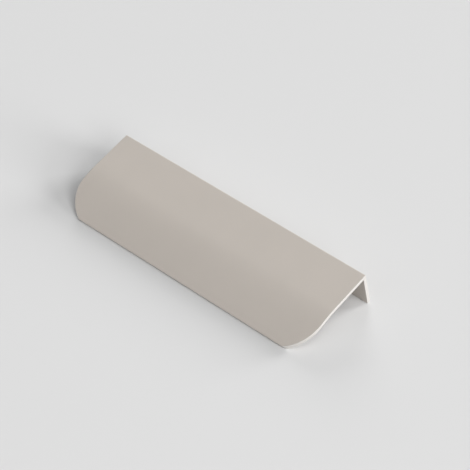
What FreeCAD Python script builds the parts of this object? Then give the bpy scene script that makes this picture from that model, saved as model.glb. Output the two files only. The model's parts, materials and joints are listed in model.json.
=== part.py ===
import FreeCAD, Part
import math
import os

import Sketcher

# Handleless finger pull: one length of extruded aluminium, screwed to the back of a door or drawer front
# so that its plate covers the top edge and its lip curls down in front for the fingers.
# Millimetres. The profile is drawn as it sits on a door: X along the length, Y towards the back of
# the door, Z up, with the flange's back face on Y = 0 and the plate's top face on Z = 0.
# At the end it is laid down unheld, on the tip of its flange and the edge of its lip.

doc = FreeCAD.newDocument("FingerPull")

# Driving dimensions
sheet = doc.addObject("Spreadsheet::Sheet", "Sizes")
sizes = [
    ("profile_length", 120.0, "cut length of the profile"),
    ("overall_width", 39.0, "back face of the flange to the front of the lip"),
    ("flange_depth", 16.5, "plate's top face to the tip of the flange"),
    ("wall", 1.5, "thickness of the flange, plate and lip"),
    ("flat_width", 18.0, "flat stretch of the plate, from the flange's back face"),
    ("lip_radius", 40.0, "outer radius of the curled lip"),
    ("corner_radius", 0.4, "outer radius where the plate meets the flange"),
    ("inner_radius", 0.3, "inner radius where the plate meets the flange"),
    ("tip_radius", 0.25, "rounding of the flange's tip and of the lip's edge"),
    ("end_radius", 15.0, "radius of the cut that rounds each front corner, seen from above"),
    ("end_sweep", 64.0, "degrees of that arc before it runs out through the front edge"),
    ("overrun", 3.0, "how far the cutter runs past the front edge and the end"),
    ("deburr", 0.15, "easing of the cut ends"),
    ("hole_inset", 12.0, "end of the profile to the centre of the screw hole beside it"),
    ("hole_drop", 9.0, "plate's top face to the holes' centres"),
    ("hole_diameter", 3.6, "clear hole for a 3.5 mm wood screw"),
    ("head_diameter", 6.0, "countersink at the flange's back face"),
    ("head_angle", 90.0, "degrees between the countersink's sides"),
]
for row, (alias, value, note) in enumerate(sizes, start=1):
    sheet.set("A%d" % row, alias)
    sheet.set("B%d" % row, str(value))
    sheet.set("C%d" % row, note)
    sheet.setAlias("B%d" % row, alias)
doc.recompute()

length = sheet.get("profile_length")
width = sheet.get("overall_width")
depth = sheet.get("flange_depth")
wall = sheet.get("wall")
flat = sheet.get("flat_width")
lip = sheet.get("lip_radius")
corner = sheet.get("corner_radius")
inner = sheet.get("inner_radius")
tip = sheet.get("tip_radius")
end = sheet.get("end_radius")
sweep = math.radians(sheet.get("end_sweep"))
overrun = sheet.get("overrun")

body = doc.addObject("PartDesign::Body", "FingerPull")
body.Label = "finger_pull"


def origin_plane(role):
    """The body's own plane with this role."""
    return next(item for item in body.Origin.OriginFeatures if item.Role == role)


def new_sketch(name, role):
    """An empty sketch on one of the body's own planes."""
    sketch = body.newObject("Sketcher::SketchObject", name)
    sketch.AttachmentSupport = [(origin_plane(role), "")]
    sketch.MapMode = "FlatFace"
    return sketch


def bind(sketch, name, expression, *constraint):
    """Add a dimension to the sketch and tie it to the sheet."""
    index = sketch.addConstraint(Sketcher.Constraint(*constraint))
    sketch.renameConstraint(index, name)
    sketch.setExpression("Constraints." + name, expression)


def point(x, y):
    return FreeCAD.Vector(x, y, 0)


def segment(sketch, start, finish):
    return sketch.addGeometry(Part.LineSegment(start, finish), False)


def arc(sketch, centre, radius, first, last):
    """An arc that runs anticlockwise between two angles, given in radians."""
    circle = Part.Circle(centre, FreeCAD.Vector(0, 0, 1), radius)
    return sketch.addGeometry(Part.ArcOfCircle(circle, first, last), False)


# Where the lip ends. Its end face lies on a radius of the curl, and both of its edges are rounded,
# so the two small arcs have their centres a little short of that face.
outer_turn = math.asin((width - tip - flat) / (lip - tip))
lip_turn = outer_turn + math.asin(tip / (lip - tip))
inner_turn = lip_turn - math.asin(tip / (lip - wall + tip))


def on_curl(radius, turn):
    """A point of the curl in the section: Y and Z at this radius and turn from the vertical."""
    return point(-flat - radius * math.sin(turn), -lip + radius * math.cos(turn))


# Section of the profile, on the YZ plane, drawn anticlockwise from the front of the flat
section = new_sketch("Section", "YZ_Plane")
right = 0.0
top = math.pi / 2
left = math.pi
bottom = 3 * math.pi / 2
curl = point(-flat, -lip)
lip_out = arc(section, curl, lip, top, top + outer_turn)
lip_edge_out = arc(section, on_curl(lip - tip, outer_turn), tip, top + outer_turn, left + lip_turn)
lip_face_top = on_curl(lip - tip, lip_turn)
lip_face_bottom = on_curl(lip - wall + tip, lip_turn)
lip_face = segment(section, lip_face_top, lip_face_bottom)
lip_edge_in = arc(section, on_curl(lip - wall + tip, inner_turn), tip, left + lip_turn, bottom + inner_turn)
lip_in = arc(section, curl, lip - wall, top, top + inner_turn)
underside = segment(section, point(-flat, -wall), point(-wall - inner, -wall))
inner_corner = arc(section, point(-wall - inner, -wall - inner), inner, right, top)
flange_front = segment(section, point(-wall, -wall - inner), point(-wall, -depth + tip))
tip_front = arc(section, point(-wall + tip, -depth + tip), tip, left, bottom)
flange_tip = segment(section, point(-wall + tip, -depth), point(-tip, -depth))
tip_back = arc(section, point(-tip, -depth + tip), tip, bottom, 2 * math.pi)
flange_back = segment(section, point(0, -depth + tip), point(0, -corner))
outer_corner = arc(section, point(-corner, -corner), corner, right, top)
top_face = segment(section, point(-corner, 0), point(-flat, 0))

# Each pair runs on smoothly: the end of one piece of the outline and the start of the next
START, FINISH, CENTRE = 1, 2, 3
joins = [
    (top_face, FINISH, lip_out, START),
    (lip_out, FINISH, lip_edge_out, START),
    (lip_edge_out, FINISH, lip_face, START),
    (lip_face, FINISH, lip_edge_in, START),
    (lip_edge_in, FINISH, lip_in, FINISH),
    (lip_in, START, underside, START),
    (underside, FINISH, inner_corner, FINISH),
    (inner_corner, START, flange_front, START),
    (flange_front, FINISH, tip_front, START),
    (tip_front, FINISH, flange_tip, START),
    (flange_tip, FINISH, tip_back, START),
    (tip_back, FINISH, flange_back, START),
    (flange_back, FINISH, outer_corner, START),
    (outer_corner, FINISH, top_face, START),
]
for one, one_end, other, other_end in joins:
    section.addConstraint(Sketcher.Constraint("Tangent", one, one_end, other, other_end))
section.addConstraint(Sketcher.Constraint("Horizontal", top_face))
section.addConstraint(Sketcher.Constraint("Vertical", flange_back))
section.addConstraint(Sketcher.Constraint("Horizontal", flange_tip))
section.addConstraint(Sketcher.Constraint("Coincident", lip_in, CENTRE, lip_out, CENTRE))
section.addConstraint(Sketcher.Constraint("PointOnObject", lip_out, CENTRE, lip_face))
section.addConstraint(Sketcher.Constraint("PointOnObject", top_face, START, -1))
section.addConstraint(Sketcher.Constraint("PointOnObject", flange_back, START, -2))
bind(section, "flat_width", "Sizes.flat_width", "DistanceX", top_face, FINISH, -1, START, flat)
bind(section, "lip_radius", "Sizes.lip_radius", "Radius", lip_out, lip)
bind(section, "lip_wall", "Sizes.lip_radius - Sizes.wall", "Radius", lip_in, lip - wall)
bind(section, "overall_width", "Sizes.overall_width - Sizes.tip_radius",
     "DistanceX", lip_edge_out, CENTRE, -1, START, width - tip)
bind(section, "lip_edge_out", "Sizes.tip_radius", "Radius", lip_edge_out, tip)
bind(section, "lip_edge_in", "Sizes.tip_radius", "Radius", lip_edge_in, tip)
bind(section, "flange_wall", "Sizes.wall", "DistanceX", flange_front, START, -1, START, wall)
bind(section, "flange_depth", "Sizes.flange_depth", "DistanceY", flange_tip, START, -1, START, depth)
bind(section, "tip_front", "Sizes.tip_radius", "Radius", tip_front, tip)
bind(section, "tip_back", "Sizes.tip_radius", "Radius", tip_back, tip)
bind(section, "inner_radius", "Sizes.inner_radius", "Radius", inner_corner, inner)
bind(section, "corner_radius", "Sizes.corner_radius", "Radius", outer_corner, corner)

# The extrusion, cut to length
profile = body.newObject("PartDesign::Pad", "Profile")
profile.Profile = section
profile.SideType = "Symmetric"
profile.setExpression("Length", "Sizes.profile_length")
section.Visibility = False
doc.recompute()

# One front corner cut away from above. The arc leaves the end square and runs out through the front
# edge before it has turned a quarter, so a definite corner stays there.
cut_plan = new_sketch("EndCutPlan", "XY_Plane")
arc_x = length / 2 - end
arc_y = -width + end * math.sin(sweep)
run_out = point(arc_x + end * math.cos(sweep), -width)
past_front = point(run_out.x, -width - overrun)
past_corner = point(length / 2 + overrun, -width - overrun)
past_end = point(length / 2 + overrun, arc_y)
arc_start = point(length / 2, arc_y)
round_cut = arc(cut_plan, point(arc_x, arc_y), end, -sweep, 0)
out_front = segment(cut_plan, run_out, past_front)
along_front = segment(cut_plan, past_front, past_corner)
along_end = segment(cut_plan, past_corner, past_end)
back_in = segment(cut_plan, past_end, arc_start)
outline = [out_front, along_front, along_end, back_in]
for one, other in zip(outline, outline[1:]):
    cut_plan.addConstraint(Sketcher.Constraint("Coincident", one, FINISH, other, START))
cut_plan.addConstraint(Sketcher.Constraint("Coincident", round_cut, START, out_front, START))
cut_plan.addConstraint(Sketcher.Constraint("Coincident", round_cut, FINISH, back_in, FINISH))
cut_plan.addConstraint(Sketcher.Constraint("Vertical", out_front))
cut_plan.addConstraint(Sketcher.Constraint("Horizontal", along_front))
cut_plan.addConstraint(Sketcher.Constraint("Vertical", along_end))
cut_plan.addConstraint(Sketcher.Constraint("Horizontal", back_in))
cut_plan.addConstraint(Sketcher.Constraint("PointOnObject", round_cut, CENTRE, back_in))
bind(cut_plan, "end_radius", "Sizes.end_radius", "Radius", round_cut, end)
bind(cut_plan, "half_length", "Sizes.profile_length / 2", "DistanceX", -1, START, back_in, FINISH, length / 2)
bind(cut_plan, "front_edge", "Sizes.overall_width", "DistanceY", round_cut, START, -1, START, width)
bind(cut_plan, "arc_back", "Sizes.end_radius * sin(Sizes.end_sweep * 1deg)",
     "DistanceY", round_cut, START, round_cut, FINISH, end * math.sin(sweep))
bind(cut_plan, "front_overrun", "Sizes.overrun", "DistanceY", out_front, FINISH, out_front, START, overrun)
bind(cut_plan, "end_overrun", "Sizes.overrun", "DistanceX", back_in, FINISH, back_in, START, overrun)

end_cut = body.newObject("PartDesign::Pocket", "EndCut")
end_cut.Profile = cut_plan
end_cut.Type = "ThroughAll"
end_cut.SideType = "Symmetric"
cut_plan.Visibility = False
doc.recompute()

# One screw hole through the flange, countersunk from the back face
hole_plan = new_sketch("HolePlan", "XZ_Plane")
inset = sheet.get("hole_inset")
drop = sheet.get("hole_drop")
bore = sheet.get("hole_diameter")
normal = FreeCAD.Vector(0, 0, 1)
hole_centre = point(length / 2 - inset, -drop)
mark = hole_plan.addGeometry(Part.Circle(hole_centre, normal, bore / 2), False)
bind(hole_plan, "hole_place", "Sizes.profile_length / 2 - Sizes.hole_inset",
     "DistanceX", -1, START, mark, CENTRE, hole_centre.x)
bind(hole_plan, "hole_drop", "Sizes.hole_drop", "DistanceY", mark, CENTRE, -1, START, drop)
bind(hole_plan, "hole_diameter", "Sizes.hole_diameter", "Diameter", mark, bore)

screw_hole = body.newObject("PartDesign::Hole", "ScrewHole")
screw_hole.Profile = hole_plan
hole_plan.Visibility = False
doc.recompute()
screw_hole.ThreadType = "None"
screw_hole.DepthType = "ThroughAll"
screw_hole.Reversed = True
screw_hole.HoleCutType = "Countersink"
screw_hole.HoleCutCustomValues = True
screw_hole.setExpression("Diameter", "Sizes.hole_diameter")
screw_hole.setExpression("HoleCutDiameter", "Sizes.head_diameter")
screw_hole.setExpression("HoleCutCountersinkAngle", "Sizes.head_angle * 1deg")
doc.recompute()

# The other end is the same, the other way round
both_ends = body.newObject("PartDesign::Mirrored", "BothEnds")
both_ends.Originals = [end_cut, screw_hole]
both_ends.MirrorPlane = (origin_plane("YZ_Plane"), [""])
body.Tip = both_ends
doc.recompute()


def is_end_face(face):
    """True for a square end and for the rounded cut beside it."""
    if isinstance(face.Surface, Part.Plane):
        return abs(abs(face.CenterOfMass.x) - length / 2) < 1e-6
    if isinstance(face.Surface, Part.Cylinder):
        return abs(face.Surface.Axis.z) > 0.999 and abs(face.Surface.Radius - end) < 1e-6
    return False


# The cut ends are deburred: every edge that bounds one end face and isn't between two of them
end_faces = [face for face in both_ends.Shape.Faces if is_end_face(face)]
rim = []
for number, edge in enumerate(both_ends.Shape.Edges, start=1):
    touching = [face for face in end_faces if any(edge.isSame(other) for other in face.Edges)]
    if len(touching) == 1:
        rim.append("Edge%d" % number)
deburred = body.newObject("PartDesign::Fillet", "DeburredEnds")
deburred.Base = (both_ends, rim)
deburred.setExpression("Radius", "Sizes.deburr")
body.Tip = deburred
doc.recompute()

# Laid down unheld: the front of the flange's tip and the inside of the lip's edge touch the floor.
# Both are rounded by the same radius, so the line between their centres is level.
flange_foot = point(-wall + tip, -depth + tip)
lip_foot = on_curl(lip - wall + tip, inner_turn)
tilt = math.degrees(math.atan2(lip_foot.y - flange_foot.y, flange_foot.x - lip_foot.x))
lying = FreeCAD.Rotation(FreeCAD.Vector(1, 0, 0), tilt)
body.Placement = FreeCAD.Placement(FreeCAD.Vector(0, 0, 0), lying)
doc.recompute()
box = body.Shape.optimalBoundingBox(False, False)
body.Placement = FreeCAD.Placement(FreeCAD.Vector(0, -box.Center.y, -box.ZMin), lying)
doc.recompute()

for item in doc.Objects:
    if "Invalid" in item.State or "Error" in item.State:
        raise SystemExit("%s failed: %s" % (item.Name, item.State))
if body.Shape.isNull() or not body.Shape.isValid() or len(body.Shape.Solids) != 1:
    raise SystemExit("finger_pull is not one valid solid")

os.makedirs("parts", exist_ok=True)
body.Shape.exportStep("parts/%s.step" % body.Label)
box = body.Shape.optimalBoundingBox(False, False)
print("tilt %.3f deg, volume %.1f mm3" % (tilt, body.Shape.Volume))
print("box %.3f %.3f %.3f to %.3f %.3f %.3f" % (box.XMin, box.YMin, box.ZMin, box.XMax, box.YMax, box.ZMax))
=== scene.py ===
import json
import math

import bmesh
import bpy
from mathutils import Matrix, Vector


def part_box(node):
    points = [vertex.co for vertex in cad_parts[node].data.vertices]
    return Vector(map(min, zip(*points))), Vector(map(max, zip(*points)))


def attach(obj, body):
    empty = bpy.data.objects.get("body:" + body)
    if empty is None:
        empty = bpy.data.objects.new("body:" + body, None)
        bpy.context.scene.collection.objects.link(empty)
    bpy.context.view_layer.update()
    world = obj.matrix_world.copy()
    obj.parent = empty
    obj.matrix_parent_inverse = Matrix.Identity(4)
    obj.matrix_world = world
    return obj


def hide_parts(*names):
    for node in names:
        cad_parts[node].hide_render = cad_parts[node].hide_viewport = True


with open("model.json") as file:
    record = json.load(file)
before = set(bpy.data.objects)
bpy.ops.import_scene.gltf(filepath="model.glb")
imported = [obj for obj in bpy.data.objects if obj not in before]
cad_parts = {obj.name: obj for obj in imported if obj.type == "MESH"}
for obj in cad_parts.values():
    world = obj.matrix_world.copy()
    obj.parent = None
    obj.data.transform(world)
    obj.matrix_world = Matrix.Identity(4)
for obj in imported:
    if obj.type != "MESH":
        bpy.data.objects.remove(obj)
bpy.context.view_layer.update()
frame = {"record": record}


# The profile itself: one length of extruded aluminium, an L with a flange, a flat plate and a lip that curls
# down in front. It is sawn to length, both front corners are milled round and all cut ends are deburred. Its
# length and the tilt at which it lies come from the frame, and the section is in millimetres.
MM = 0.001
holes = next(mount for mount in frame["record"]["mounts"] if mount["name"] == "screw_holes")
low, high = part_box("finger_pull")
length = (high.x - low.x) / MM
tilt = math.atan2(holes["axis"][2], holes["axis"][1])
wall = 1.5
width = 39.0
flange_depth = 16.5
flat_width = 18.0
lip_radius = 40.0
corner_radius = 0.4
inner_radius = 0.3
edge_radius = 0.25
end_radius = 15.0
end_sweep = math.radians(64)
deburr = 0.15
lip_steps = 48
corner_steps = 6
edge_steps = 5
deburr_steps = 4
length_steps = 24
quarter = math.pi / 2

# Both edges of the lip are rounded, so those two small arcs stop a little short of the lip's end face. Each
# arc starts on the last point of the curl, which is kept once.
lip_turn = math.asin((width - edge_radius - flat_width) / (lip_radius - edge_radius))
face_turn = lip_turn + math.asin(edge_radius / (lip_radius - edge_radius))
inner_turn = face_turn - math.asin(edge_radius / (lip_radius - wall + edge_radius))
curl_centre = Vector((-flat_width, -lip_radius))


def bend(centre, radius, first, last, steps, hollow=False):
    """Points of an arc in the section, each with its direction into the metal: outwards if hollow."""
    points = []
    for step in range(steps + 1):
        angle = first + (last - first) * step / steps
        outward = Vector((math.cos(angle), math.sin(angle)))
        points.append((centre + outward * radius, outward if hollow else -outward))
    return points


def on_curl(radius, turn):
    """A point of the curled lip, at this radius and turn from the top."""
    return curl_centre + radius * Vector((-math.sin(turn), math.cos(turn)))


outer_skin = (
    bend(Vector((-edge_radius, edge_radius - flange_depth)), edge_radius, -quarter, 0, edge_steps)
    + bend(Vector((-corner_radius, -corner_radius)), corner_radius, 0, quarter, corner_steps)
    + bend(curl_centre, lip_radius, quarter, quarter + lip_turn, lip_steps)[:-1]
    + bend(on_curl(lip_radius - edge_radius, lip_turn), edge_radius,
           quarter + lip_turn, 2 * quarter + face_turn, edge_steps)
)
inner_skin = (
    bend(Vector((edge_radius - wall, edge_radius - flange_depth)), edge_radius,
         -quarter, -2 * quarter, edge_steps)
    + bend(Vector((-wall - inner_radius, -wall - inner_radius)), inner_radius, 0, quarter, corner_steps, True)
    + bend(curl_centre, lip_radius - wall, quarter, quarter + inner_turn, lip_steps, True)[:-1]
    + bend(on_curl(lip_radius - wall + edge_radius, inner_turn), edge_radius,
           3 * quarter + inner_turn, 2 * quarter + face_turn, edge_steps)
)
section = outer_skin + inner_skin[::-1]


def half_length(y, short):
    """From mid-length to the cut end at this depth, for a cut that stops this much short."""
    round_starts = end_radius * math.sin(end_sweep) - width
    if y >= round_starts:
        return length / 2 - short
    return length / 2 - end_radius + math.sqrt((end_radius - short) ** 2 - (round_starts - y) ** 2)


def ring(mesh, side, inset, short):
    """One turn round the section, inset into the metal, near one end."""
    corners = []
    for place, inward in section:
        spot = place + inward * inset
        corners.append(mesh.verts.new((side * half_length(spot.x, short), spot.x, spot.y)))
    return corners


def skin(mesh, one, other):
    """A band of faces between two turns round the section."""
    for corner in range(len(one)):
        after = (corner + 1) % len(one)
        mesh.faces.new((one[corner], one[after], other[after], other[corner]))


pull = bmesh.new()
left_skin = ring(pull, -1, 0, deburr)
right_skin = ring(pull, 1, 0, deburr)
turns = [left_skin]
for step in range(1, length_steps):
    share = step / length_steps
    turns.append([pull.verts.new(a.co.lerp(b.co, share)) for a, b in zip(left_skin, right_skin)])
turns.append(right_skin)
for one, other in zip(turns, turns[1:]):
    skin(pull, one, other)
last = len(section) - 1
for side, edge in ((-1, left_skin), (1, right_skin)):
    for step in range(1, deburr_steps + 1):
        angle = quarter * step / deburr_steps
        turn = ring(pull, side, deburr * (1 - math.cos(angle)), deburr * (1 - math.sin(angle)))
        skin(pull, edge, turn)
        edge = turn
    for step in range(len(outer_skin) - 1):
        pull.faces.new((edge[step], edge[step + 1], edge[last - step - 1], edge[last - step]))
bmesh.ops.recalc_face_normals(pull, faces=pull.faces)
pull_mesh = bpy.data.meshes.new("finger_pull_profile")
pull.to_mesh(pull_mesh)
pull.free()
profile = bpy.data.objects.new("finger_pull_profile", pull_mesh)
bpy.context.scene.collection.objects.link(profile)


# The two countersunk screw holes: drilled through the flange and opened at its back for a flat screw head,
# so that the screw ends flush. A turned cutter of that shape takes the metal away.
hole_radius = holes["dims"]["hole_r_mm"]
hole_pitch = holes["dims"]["pcd_mm"]
hole_drop = 9.0
head_radius = 3.0
past = 0.6
round_steps = 64
cutter_side = [(0, -wall - past), (hole_radius, -wall - past), (hole_radius, hole_radius - head_radius),
               (head_radius, 0), (head_radius + past, past), (0, past)]
same_point = 0.0001
cutter = bmesh.new()
for side in (-1, 1):
    centre = Vector((side * hole_pitch / 2, 0, -hole_drop))
    corners = [cutter.verts.new(centre + Vector((radius, depth, 0))) for radius, depth in cutter_side]
    edges = [cutter.edges.new(pair) for pair in zip(corners, corners[1:])]
    bmesh.ops.spin(cutter, geom=corners + edges, cent=centre, axis=(0, 1, 0), angle=4 * quarter,
                   steps=round_steps, use_merge=True)
bmesh.ops.remove_doubles(cutter, verts=cutter.verts, dist=same_point)
bmesh.ops.recalc_face_normals(cutter, faces=cutter.faces)
cutter_mesh = bpy.data.meshes.new("countersink_cutter")
cutter.to_mesh(cutter_mesh)
cutter.free()
drill = bpy.data.objects.new("countersink_cutter", cutter_mesh)
bpy.context.scene.collection.objects.link(drill)
drilling = profile.modifiers.new("screw_holes", "BOOLEAN")
drilling.operation = "DIFFERENCE"
drilling.solver = "EXACT"
drilling.object = drill
ready = profile.evaluated_get(bpy.context.evaluated_depsgraph_get())
drilled = bpy.data.meshes.new_from_object(ready)
profile.modifiers.clear()
profile.data = drilled
bpy.data.objects.remove(drill)


# Lying down: it rests unheld on the tip of its flange and the edge of its lip, so the plate slopes down to
# the front. The faces are shaded smooth, and stay sharp where the real edge is.
sharp_edge = math.radians(40)
drilled.transform(Matrix.Scale(MM, 4) @ Matrix.Rotation(tilt, 4, "X"))
lowest = Vector([min(vert.co[axis] for vert in drilled.vertices) for axis in range(3)])
drilled.transform(Matrix.Translation(low - lowest))
for face in drilled.polygons:
    face.use_smooth = True
drilled.set_sharp_from_angle(angle=sharp_edge)
even_shading = profile.modifiers.new("even_shading", "WEIGHTED_NORMAL")
even_shading.keep_sharp = True
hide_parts("finger_pull")
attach(profile, "root")


# The coating: a satin warm grey powder coat, baked on while the bar has its full length. It gives the plate
# an even dull sheen, with a fine grain and hardly any change of tone from place to place. The grain is about
# 0.1 mm across, and is drawn twice as coarse so that it shows.
def linear(code):
    """An sRGB hex colour as Blender's linear one."""
    parts = [int(code[i:i + 2], 16) / 255 for i in (1, 3, 5)]
    return tuple([p / 12.92 if p <= 0.04045 else ((p + 0.055) / 1.055) ** 2.4 for p in parts] + [1.0])


def add(material, kind, inputs=(), **settings):
    """One node with its settings. An input is a value, or the (node, output) that feeds it."""
    node = material.node_tree.nodes.new(kind)
    for name, value in settings.items():
        setattr(node, name, value)
    for name, value in dict(inputs).items():
        if isinstance(value, tuple) and isinstance(value[0], bpy.types.Node):
            material.node_tree.links.new(value[0].outputs[value[1]], node.inputs[name])
        else:
            node.inputs[name].default_value = value
    return node


def new_material(name):
    """A material with no nodes yet."""
    material = bpy.data.materials.new(name)
    material.use_nodes = True
    material.node_tree.nodes.clear()
    return material


mottle_size = 14 * MM
grain_size = 0.2 * MM
grain_height = 0.05 * MM
coating = new_material("satin_grey_powder_coat")
coated_place = add(coating, "ShaderNodeTexCoord")
mottle = add(coating, "ShaderNodeTexNoise", {
    "Vector": (coated_place, "Object"), "Scale": 1 / mottle_size, "Detail": 2.0})
tone = add(coating, "ShaderNodeMix", {
    "Factor": (mottle, "Fac"), "A": linear("#beb7af"), "B": linear("#c2bab2")}, data_type="RGBA")
dullness = add(coating, "ShaderNodeMapRange", {
    "Value": (mottle, "Fac"), "From Min": 0.3, "From Max": 0.7, "To Min": 0.55, "To Max": 0.61})
grain = add(coating, "ShaderNodeTexNoise", {
    "Vector": (coated_place, "Object"), "Scale": 1 / grain_size, "Detail": 2.0})
relief = add(coating, "ShaderNodeBump", {
    "Height": (grain, "Fac"), "Strength": 0.8, "Distance": grain_height})
satin = add(coating, "ShaderNodeBsdfPrincipled", {
    "Base Color": (tone, "Result"), "Roughness": (dullness, "Result"), "Normal": (relief, "Normal")})
add(coating, "ShaderNodeOutputMaterial", {"Surface": (satin, "BSDF")})
drilled.materials.append(coating)


# The cut faces: the coated bar is sawn, milled and drilled, so its ends, their deburred edges and the screw
# holes are bare aluminium. That is paler and whiter than the coating, and faint marks of the cutter run up
# and down in it. They are about 0.1 mm apart, and are drawn twice as coarse so that they show.
mark_spacing = 0.2 * MM
mark_height = 0.01 * MM
mark_stretch = (1.0, 1.0, 0.1)
least_slant = 0.01
bare = new_material("bare_milled_aluminium")
bare_place = add(bare, "ShaderNodeTexCoord")
upright = add(bare, "ShaderNodeMapping", {"Vector": (bare_place, "Object"), "Scale": mark_stretch})
marks = add(bare, "ShaderNodeTexNoise", {
    "Vector": (upright, "Vector"), "Scale": 1 / mark_spacing, "Detail": 1.0})
gleam = add(bare, "ShaderNodeMix", {
    "Factor": (marks, "Fac"), "A": linear("#bfbcb8"), "B": linear("#cbc8c4")}, data_type="RGBA")
ridges = add(bare, "ShaderNodeBump", {
    "Height": (marks, "Fac"), "Strength": 0.5, "Distance": mark_height})
milled = add(bare, "ShaderNodeBsdfPrincipled", {
    "Base Color": (gleam, "Result"), "Metallic": 0.2, "Roughness": 0.6, "Normal": (ridges, "Normal")})
add(bare, "ShaderNodeOutputMaterial", {"Surface": (milled, "BSDF")})
drilled.materials.append(bare)

# An extruded face runs straight along the bar, and every face that slants from that is cut
for face in drilled.polygons:
    if abs(face.normal.x) > least_slant:
        face.material_index = drilled.materials.find(bare.name)


# The floor: a plain pale sheet of matt board under the profile, wide enough to fill every view. It keeps
# the soft shadow and isn't part of the object.
reach = 6.0
floor_mesh = bpy.data.meshes.new("floor")
floor_corners = [(-reach, -reach, 0), (reach, -reach, 0), (reach, reach, 0), (-reach, reach, 0)]
floor_mesh.from_pydata(floor_corners, [], [(0, 1, 2, 3)])
floor = bpy.data.objects.new("floor", floor_mesh)
bpy.context.scene.collection.objects.link(floor)
board = new_material("matt_pale_board")
matt = add(board, "ShaderNodeBsdfPrincipled", {
    "Base Color": linear("#d3d3d3"), "Roughness": 0.9, "Specular IOR Level": 0.0})
add(board, "ShaderNodeOutputMaterial", {"Surface": (matt, "BSDF")})
floor_mesh.materials.append(board)


# The light: six large soft lamps in a dim, even room. The low one on the right makes the cut end bright and
# throws the soft shadow on the left. The two behind throw the narrow shadow along the lip, and the three in
# front light the plate.
world = bpy.data.worlds.new("studio")
bpy.context.scene.world = world
world.use_nodes = True
room = world.node_tree.nodes["Background"]
room.inputs["Color"].default_value = (1.0, 1.0, 1.0, 1.0)
room.inputs["Strength"].default_value = 0.06
lamp_distance = 8.0


def lamp(name, azimuth, elevation, size, power):
    """A square soft lamp that faces the object, with its azimuth in degrees from +X towards +Y."""
    light = bpy.data.lights.new(name, "AREA")
    light.size = size
    light.energy = power
    holder = bpy.data.objects.new(name, light)
    turn, rise = math.radians(azimuth), math.radians(elevation)
    towards = Vector((math.cos(turn) * math.cos(rise), math.sin(turn) * math.cos(rise), math.sin(rise)))
    holder.location = towards * lamp_distance
    holder.rotation_euler = towards.to_track_quat("Z", "Y").to_euler()
    bpy.context.scene.collection.objects.link(holder)


lamp("low_right", azimuth=6, elevation=16, size=3.2, power=388)
lamp("front_right", azimuth=-25, elevation=30, size=2.8, power=253)
lamp("front", azimuth=-30, elevation=60, size=5.8, power=265)
lamp("front_left", azimuth=-100, elevation=40, size=4.3, power=69)
lamp("back_left", azimuth=130, elevation=22, size=3.4, power=238)
lamp("back_right", azimuth=65, elevation=20, size=2.8, power=392)


# The camera: in front of the profile, to its right and above, with a long lens, as in the photograph. Its
# place and roll were fitted to the edges of the profile there.
aim = Vector((-1.34, 14.23, 0)) * MM
camera_turn = math.radians(40.59)
camera_rise = math.radians(42.19)
camera_roll = math.radians(1.03)
camera_distance = 742.5 * MM
back = Vector((math.sin(camera_turn) * math.cos(camera_rise),
               -math.cos(camera_turn) * math.cos(camera_rise), math.sin(camera_rise)))
facing = back.to_track_quat("Z", "Y").to_matrix() @ Matrix.Rotation(camera_roll, 3, "Z")
lens = bpy.data.cameras.new("camera")
lens.sensor_width = 36
lens.lens = 148.14
lens.clip_start = 0.05
camera = bpy.data.objects.new("camera", lens)
camera.location = aim + back * camera_distance
camera.rotation_euler = facing.to_euler()
bpy.context.scene.collection.objects.link(camera)
bpy.context.scene.camera = camera
bpy.context.scene.view_settings.view_transform = "Standard"
